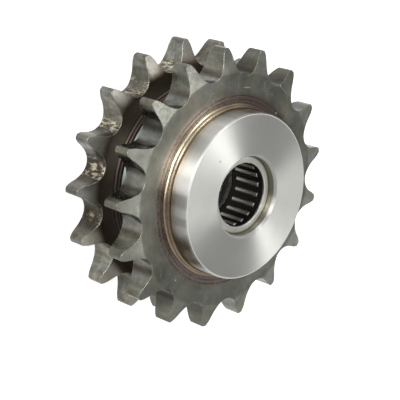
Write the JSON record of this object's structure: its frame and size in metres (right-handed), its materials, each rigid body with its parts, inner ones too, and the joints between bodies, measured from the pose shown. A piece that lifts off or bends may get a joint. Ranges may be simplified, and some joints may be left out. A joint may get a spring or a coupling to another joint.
{
  "type": "double-strand idler sprocket",
  "caption": "Double-strand roller chain idler sprocket: toothed plates welded to a stepped, turned steel hub, with caged needle bearings in its bore.",
  "frame": {"origin": "centre of the flat rear face, on the shaft axis", "axes": "+Z along the shaft axis towards the hub's long nose; +X through a tooth of both plates"},
  "size_m": [0.1126, 0.113, 0.0444],
  "materials": {
    "tooth_plate_steel": "dark mill finish with bare tooth reliefs",
    "hub_steel": "bright turned",
    "weld_metal": "heat-tinted bead",
    "bearing_cup_steel": "satin drawn",
    "cage_steel": "dark phosphated",
    "needle_steel": "ground bright"
  },
  "bodies": {
    "sprocket": {"hub": "hub_steel", "front_tooth_plate": "tooth_plate_steel", "rear_tooth_plate": "tooth_plate_steel", "front_weld_bead": "weld_metal", "rear_weld_bead": "weld_metal", "front_bearing_cup": "bearing_cup_steel", "rear_bearing_cup": "bearing_cup_steel"},
    "front_cage": {"front_cage": "cage_steel"},
    "rear_cage": {"rear_cage": "cage_steel"},
    "front_needle_01": {"front_needle_01": "needle_steel"},
    "front_needle_02": {"front_needle_02": "needle_steel"},
    "front_needle_03": {"front_needle_03": "needle_steel"},
    "front_needle_04": {"front_needle_04": "needle_steel"},
    "front_needle_05": {"front_needle_05": "needle_steel"},
    "front_needle_06": {"front_needle_06": "needle_steel"},
    "front_needle_07": {"front_needle_07": "needle_steel"},
    "front_needle_08": {"front_needle_08": "needle_steel"},
    "front_needle_09": {"front_needle_09": "needle_steel"},
    "front_needle_10": {"front_needle_10": "needle_steel"},
    "front_needle_11": {"front_needle_11": "needle_steel"},
    "front_needle_12": {"front_needle_12": "needle_steel"},
    "front_needle_13": {"front_needle_13": "needle_steel"},
    "front_needle_14": {"front_needle_14": "needle_steel"},
    "front_needle_15": {"front_needle_15": "needle_steel"},
    "front_needle_16": {"front_needle_16": "needle_steel"},
    "front_needle_17": {"front_needle_17": "needle_steel"},
    "front_needle_18": {"front_needle_18": "needle_steel"},
    "front_needle_19": {"front_needle_19": "needle_steel"},
    "front_needle_20": {"front_needle_20": "needle_steel"},
    "rear_needle_01": {"rear_needle_01": "needle_steel"},
    "rear_needle_02": {"rear_needle_02": "needle_steel"},
    "rear_needle_03": {"rear_needle_03": "needle_steel"},
    "rear_needle_04": {"rear_needle_04": "needle_steel"},
    "rear_needle_05": {"rear_needle_05": "needle_steel"},
    "rear_needle_06": {"rear_needle_06": "needle_steel"},
    "rear_needle_07": {"rear_needle_07": "needle_steel"},
    "rear_needle_08": {"rear_needle_08": "needle_steel"},
    "rear_needle_09": {"rear_needle_09": "needle_steel"},
    "rear_needle_10": {"rear_needle_10": "needle_steel"},
    "rear_needle_11": {"rear_needle_11": "needle_steel"},
    "rear_needle_12": {"rear_needle_12": "needle_steel"},
    "rear_needle_13": {"rear_needle_13": "needle_steel"},
    "rear_needle_14": {"rear_needle_14": "needle_steel"},
    "rear_needle_15": {"rear_needle_15": "needle_steel"},
    "rear_needle_16": {"rear_needle_16": "needle_steel"},
    "rear_needle_17": {"rear_needle_17": "needle_steel"},
    "rear_needle_18": {"rear_needle_18": "needle_steel"},
    "rear_needle_19": {"rear_needle_19": "needle_steel"},
    "rear_needle_20": {"rear_needle_20": "needle_steel"}
  },
  "joints": [
    {"name": "front_cage_turn", "type": "hinge", "parent": "sprocket", "child": "front_cage", "pos_m": [0, 0, 0], "axis": [0, 0, 1], "continuous": true},
    {"name": "rear_cage_turn", "type": "hinge", "parent": "sprocket", "child": "rear_cage", "pos_m": [0, 0, 0], "axis": [0, 0, 1], "continuous": true},
    {"name": "front_needle_01_roll", "type": "hinge", "parent": "front_cage", "child": "front_needle_01", "pos_m": [0.0134, 0.00372, 0], "axis": [0, 0, 1], "continuous": true},
    {"name": "front_needle_02_roll", "type": "hinge", "parent": "front_cage", "child": "front_needle_02", "pos_m": [0.0116, 0.00768, 0], "axis": [0, 0, 1], "continuous": true},
    {"name": "front_needle_03_roll", "type": "hinge", "parent": "front_cage", "child": "front_needle_03", "pos_m": [0.00866, 0.01089, 0], "axis": [0, 0, 1], "continuous": true},
    {"name": "front_needle_04_roll", "type": "hinge", "parent": "front_cage", "child": "front_needle_04", "pos_m": [0.00487, 0.01303, 0], "axis": [0, 0, 1], "continuous": true},
    {"name": "front_needle_05_roll", "type": "hinge", "parent": "front_cage", "child": "front_needle_05", "pos_m": [0.00061, 0.0139, 0], "axis": [0, 0, 1], "continuous": true},
    {"name": "front_needle_06_roll", "type": "hinge", "parent": "front_cage", "child": "front_needle_06", "pos_m": [-0.00372, 0.0134, 0], "axis": [0, 0, 1], "continuous": true},
    {"name": "front_needle_07_roll", "type": "hinge", "parent": "front_cage", "child": "front_needle_07", "pos_m": [-0.00768, 0.0116, 0], "axis": [0, 0, 1], "continuous": true},
    {"name": "front_needle_08_roll", "type": "hinge", "parent": "front_cage", "child": "front_needle_08", "pos_m": [-0.01089, 0.00866, 0], "axis": [0, 0, 1], "continuous": true},
    {"name": "front_needle_09_roll", "type": "hinge", "parent": "front_cage", "child": "front_needle_09", "pos_m": [-0.01303, 0.00487, 0], "axis": [0, 0, 1], "continuous": true},
    {"name": "front_needle_10_roll", "type": "hinge", "parent": "front_cage", "child": "front_needle_10", "pos_m": [-0.0139, 0.00061, 0], "axis": [0, 0, 1], "continuous": true},
    {"name": "front_needle_11_roll", "type": "hinge", "parent": "front_cage", "child": "front_needle_11", "pos_m": [-0.0134, -0.00372, 0], "axis": [0, 0, 1], "continuous": true},
    {"name": "front_needle_12_roll", "type": "hinge", "parent": "front_cage", "child": "front_needle_12", "pos_m": [-0.0116, -0.00768, 0], "axis": [0, 0, 1], "continuous": true},
    {"name": "front_needle_13_roll", "type": "hinge", "parent": "front_cage", "child": "front_needle_13", "pos_m": [-0.00866, -0.01089, 0], "axis": [0, 0, 1], "continuous": true},
    {"name": "front_needle_14_roll", "type": "hinge", "parent": "front_cage", "child": "front_needle_14", "pos_m": [-0.00487, -0.01303, 0], "axis": [0, 0, 1], "continuous": true},
    {"name": "front_needle_15_roll", "type": "hinge", "parent": "front_cage", "child": "front_needle_15", "pos_m": [-0.00061, -0.0139, 0], "axis": [0, 0, 1], "continuous": true},
    {"name": "front_needle_16_roll", "type": "hinge", "parent": "front_cage", "child": "front_needle_16", "pos_m": [0.00372, -0.0134, 0], "axis": [0, 0, 1], "continuous": true},
    {"name": "front_needle_17_roll", "type": "hinge", "parent": "front_cage", "child": "front_needle_17", "pos_m": [0.00768, -0.0116, 0], "axis": [0, 0, 1], "continuous": true},
    {"name": "front_needle_18_roll", "type": "hinge", "parent": "front_cage", "child": "front_needle_18", "pos_m": [0.01089, -0.00866, 0], "axis": [0, 0, 1], "continuous": true},
    {"name": "front_needle_19_roll", "type": "hinge", "parent": "front_cage", "child": "front_needle_19", "pos_m": [0.01303, -0.00487, 0], "axis": [0, 0, 1], "continuous": true},
    {"name": "front_needle_20_roll", "type": "hinge", "parent": "front_cage", "child": "front_needle_20", "pos_m": [0.0139, -0.00061, 0], "axis": [0, 0, 1], "continuous": true},
    {"name": "rear_needle_01_roll", "type": "hinge", "parent": "rear_cage", "child": "rear_needle_01", "pos_m": [0.01385, 0.00128, 0], "axis": [0, 0, 1], "continuous": true},
    {"name": "rear_needle_02_roll", "type": "hinge", "parent": "rear_cage", "child": "rear_needle_02", "pos_m": [0.01278, 0.0055, 0], "axis": [0, 0, 1], "continuous": true},
    {"name": "rear_needle_03_roll", "type": "hinge", "parent": "rear_cage", "child": "rear_needle_03", "pos_m": [0.01045, 0.00918, 0], "axis": [0, 0, 1], "continuous": true},
    {"name": "rear_needle_04_roll", "type": "hinge", "parent": "rear_cage", "child": "rear_needle_04", "pos_m": [0.0071, 0.01196, 0], "axis": [0, 0, 1], "continuous": true},
    {"name": "rear_needle_05_roll", "type": "hinge", "parent": "rear_cage", "child": "rear_needle_05", "pos_m": [0.00306, 0.01357, 0], "axis": [0, 0, 1], "continuous": true},
    {"name": "rear_needle_06_roll", "type": "hinge", "parent": "rear_cage", "child": "rear_needle_06", "pos_m": [-0.00128, 0.01385, 0], "axis": [0, 0, 1], "continuous": true},
    {"name": "rear_needle_07_roll", "type": "hinge", "parent": "rear_cage", "child": "rear_needle_07", "pos_m": [-0.0055, 0.01278, 0], "axis": [0, 0, 1], "continuous": true},
    {"name": "rear_needle_08_roll", "type": "hinge", "parent": "rear_cage", "child": "rear_needle_08", "pos_m": [-0.00918, 0.01045, 0], "axis": [0, 0, 1], "continuous": true},
    {"name": "rear_needle_09_roll", "type": "hinge", "parent": "rear_cage", "child": "rear_needle_09", "pos_m": [-0.01196, 0.0071, 0], "axis": [0, 0, 1], "continuous": true},
    {"name": "rear_needle_10_roll", "type": "hinge", "parent": "rear_cage", "child": "rear_needle_10", "pos_m": [-0.01357, 0.00306, 0], "axis": [0, 0, 1], "continuous": true},
    {"name": "rear_needle_11_roll", "type": "hinge", "parent": "rear_cage", "child": "rear_needle_11", "pos_m": [-0.01385, -0.00128, 0], "axis": [0, 0, 1], "continuous": true},
    {"name": "rear_needle_12_roll", "type": "hinge", "parent": "rear_cage", "child": "rear_needle_12", "pos_m": [-0.01278, -0.0055, 0], "axis": [0, 0, 1], "continuous": true},
    {"name": "rear_needle_13_roll", "type": "hinge", "parent": "rear_cage", "child": "rear_needle_13", "pos_m": [-0.01045, -0.00918, 0], "axis": [0, 0, 1], "continuous": true},
    {"name": "rear_needle_14_roll", "type": "hinge", "parent": "rear_cage", "child": "rear_needle_14", "pos_m": [-0.0071, -0.01196, 0], "axis": [0, 0, 1], "continuous": true},
    {"name": "rear_needle_15_roll", "type": "hinge", "parent": "rear_cage", "child": "rear_needle_15", "pos_m": [-0.00306, -0.01357, 0], "axis": [0, 0, 1], "continuous": true},
    {"name": "rear_needle_16_roll", "type": "hinge", "parent": "rear_cage", "child": "rear_needle_16", "pos_m": [0.00128, -0.01385, 0], "axis": [0, 0, 1], "continuous": true},
    {"name": "rear_needle_17_roll", "type": "hinge", "parent": "rear_cage", "child": "rear_needle_17", "pos_m": [0.0055, -0.01278, 0], "axis": [0, 0, 1], "continuous": true},
    {"name": "rear_needle_18_roll", "type": "hinge", "parent": "rear_cage", "child": "rear_needle_18", "pos_m": [0.00918, -0.01045, 0], "axis": [0, 0, 1], "continuous": true},
    {"name": "rear_needle_19_roll", "type": "hinge", "parent": "rear_cage", "child": "rear_needle_19", "pos_m": [0.01196, -0.0071, 0], "axis": [0, 0, 1], "continuous": true},
    {"name": "rear_needle_20_roll", "type": "hinge", "parent": "rear_cage", "child": "rear_needle_20", "pos_m": [0.01357, -0.00306, 0], "axis": [0, 0, 1], "continuous": true}
  ],
  "couplings": [
    {"joint": "front_needle_01_roll", "follows": "front_cage_turn", "ratio": -12.689},
    {"joint": "front_needle_02_roll", "follows": "front_cage_turn", "ratio": -12.689},
    {"joint": "front_needle_03_roll", "follows": "front_cage_turn", "ratio": -12.689},
    {"joint": "front_needle_04_roll", "follows": "front_cage_turn", "ratio": -12.689},
    {"joint": "front_needle_05_roll", "follows": "front_cage_turn", "ratio": -12.689},
    {"joint": "front_needle_06_roll", "follows": "front_cage_turn", "ratio": -12.689},
    {"joint": "front_needle_07_roll", "follows": "front_cage_turn", "ratio": -12.689},
    {"joint": "front_needle_08_roll", "follows": "front_cage_turn", "ratio": -12.689},
    {"joint": "front_needle_09_roll", "follows": "front_cage_turn", "ratio": -12.689},
    {"joint": "front_needle_10_roll", "follows": "front_cage_turn", "ratio": -12.689},
    {"joint": "front_needle_11_roll", "follows": "front_cage_turn", "ratio": -12.689},
    {"joint": "front_needle_12_roll", "follows": "front_cage_turn", "ratio": -12.689},
    {"joint": "front_needle_13_roll", "follows": "front_cage_turn", "ratio": -12.689},
    {"joint": "front_needle_14_roll", "follows": "front_cage_turn", "ratio": -12.689},
    {"joint": "front_needle_15_roll", "follows": "front_cage_turn", "ratio": -12.689},
    {"joint": "front_needle_16_roll", "follows": "front_cage_turn", "ratio": -12.689},
    {"joint": "front_needle_17_roll", "follows": "front_cage_turn", "ratio": -12.689},
    {"joint": "front_needle_18_roll", "follows": "front_cage_turn", "ratio": -12.689},
    {"joint": "front_needle_19_roll", "follows": "front_cage_turn", "ratio": -12.689},
    {"joint": "front_needle_20_roll", "follows": "front_cage_turn", "ratio": -12.689},
    {"joint": "rear_needle_01_roll", "follows": "rear_cage_turn", "ratio": -12.689},
    {"joint": "rear_needle_02_roll", "follows": "rear_cage_turn", "ratio": -12.689},
    {"joint": "rear_needle_03_roll", "follows": "rear_cage_turn", "ratio": -12.689},
    {"joint": "rear_needle_04_roll", "follows": "rear_cage_turn", "ratio": -12.689},
    {"joint": "rear_needle_05_roll", "follows": "rear_cage_turn", "ratio": -12.689},
    {"joint": "rear_needle_06_roll", "follows": "rear_cage_turn", "ratio": -12.689},
    {"joint": "rear_needle_07_roll", "follows": "rear_cage_turn", "ratio": -12.689},
    {"joint": "rear_needle_08_roll", "follows": "rear_cage_turn", "ratio": -12.689},
    {"joint": "rear_needle_09_roll", "follows": "rear_cage_turn", "ratio": -12.689},
    {"joint": "rear_needle_10_roll", "follows": "rear_cage_turn", "ratio": -12.689},
    {"joint": "rear_needle_11_roll", "follows": "rear_cage_turn", "ratio": -12.689},
    {"joint": "rear_needle_12_roll", "follows": "rear_cage_turn", "ratio": -12.689},
    {"joint": "rear_needle_13_roll", "follows": "rear_cage_turn", "ratio": -12.689},
    {"joint": "rear_needle_14_roll", "follows": "rear_cage_turn", "ratio": -12.689},
    {"joint": "rear_needle_15_roll", "follows": "rear_cage_turn", "ratio": -12.689},
    {"joint": "rear_needle_16_roll", "follows": "rear_cage_turn", "ratio": -12.689},
    {"joint": "rear_needle_17_roll", "follows": "rear_cage_turn", "ratio": -12.689},
    {"joint": "rear_needle_18_roll", "follows": "rear_cage_turn", "ratio": -12.689},
    {"joint": "rear_needle_19_roll", "follows": "rear_cage_turn", "ratio": -12.689},
    {"joint": "rear_needle_20_roll", "follows": "rear_cage_turn", "ratio": -12.689}
  ]
}
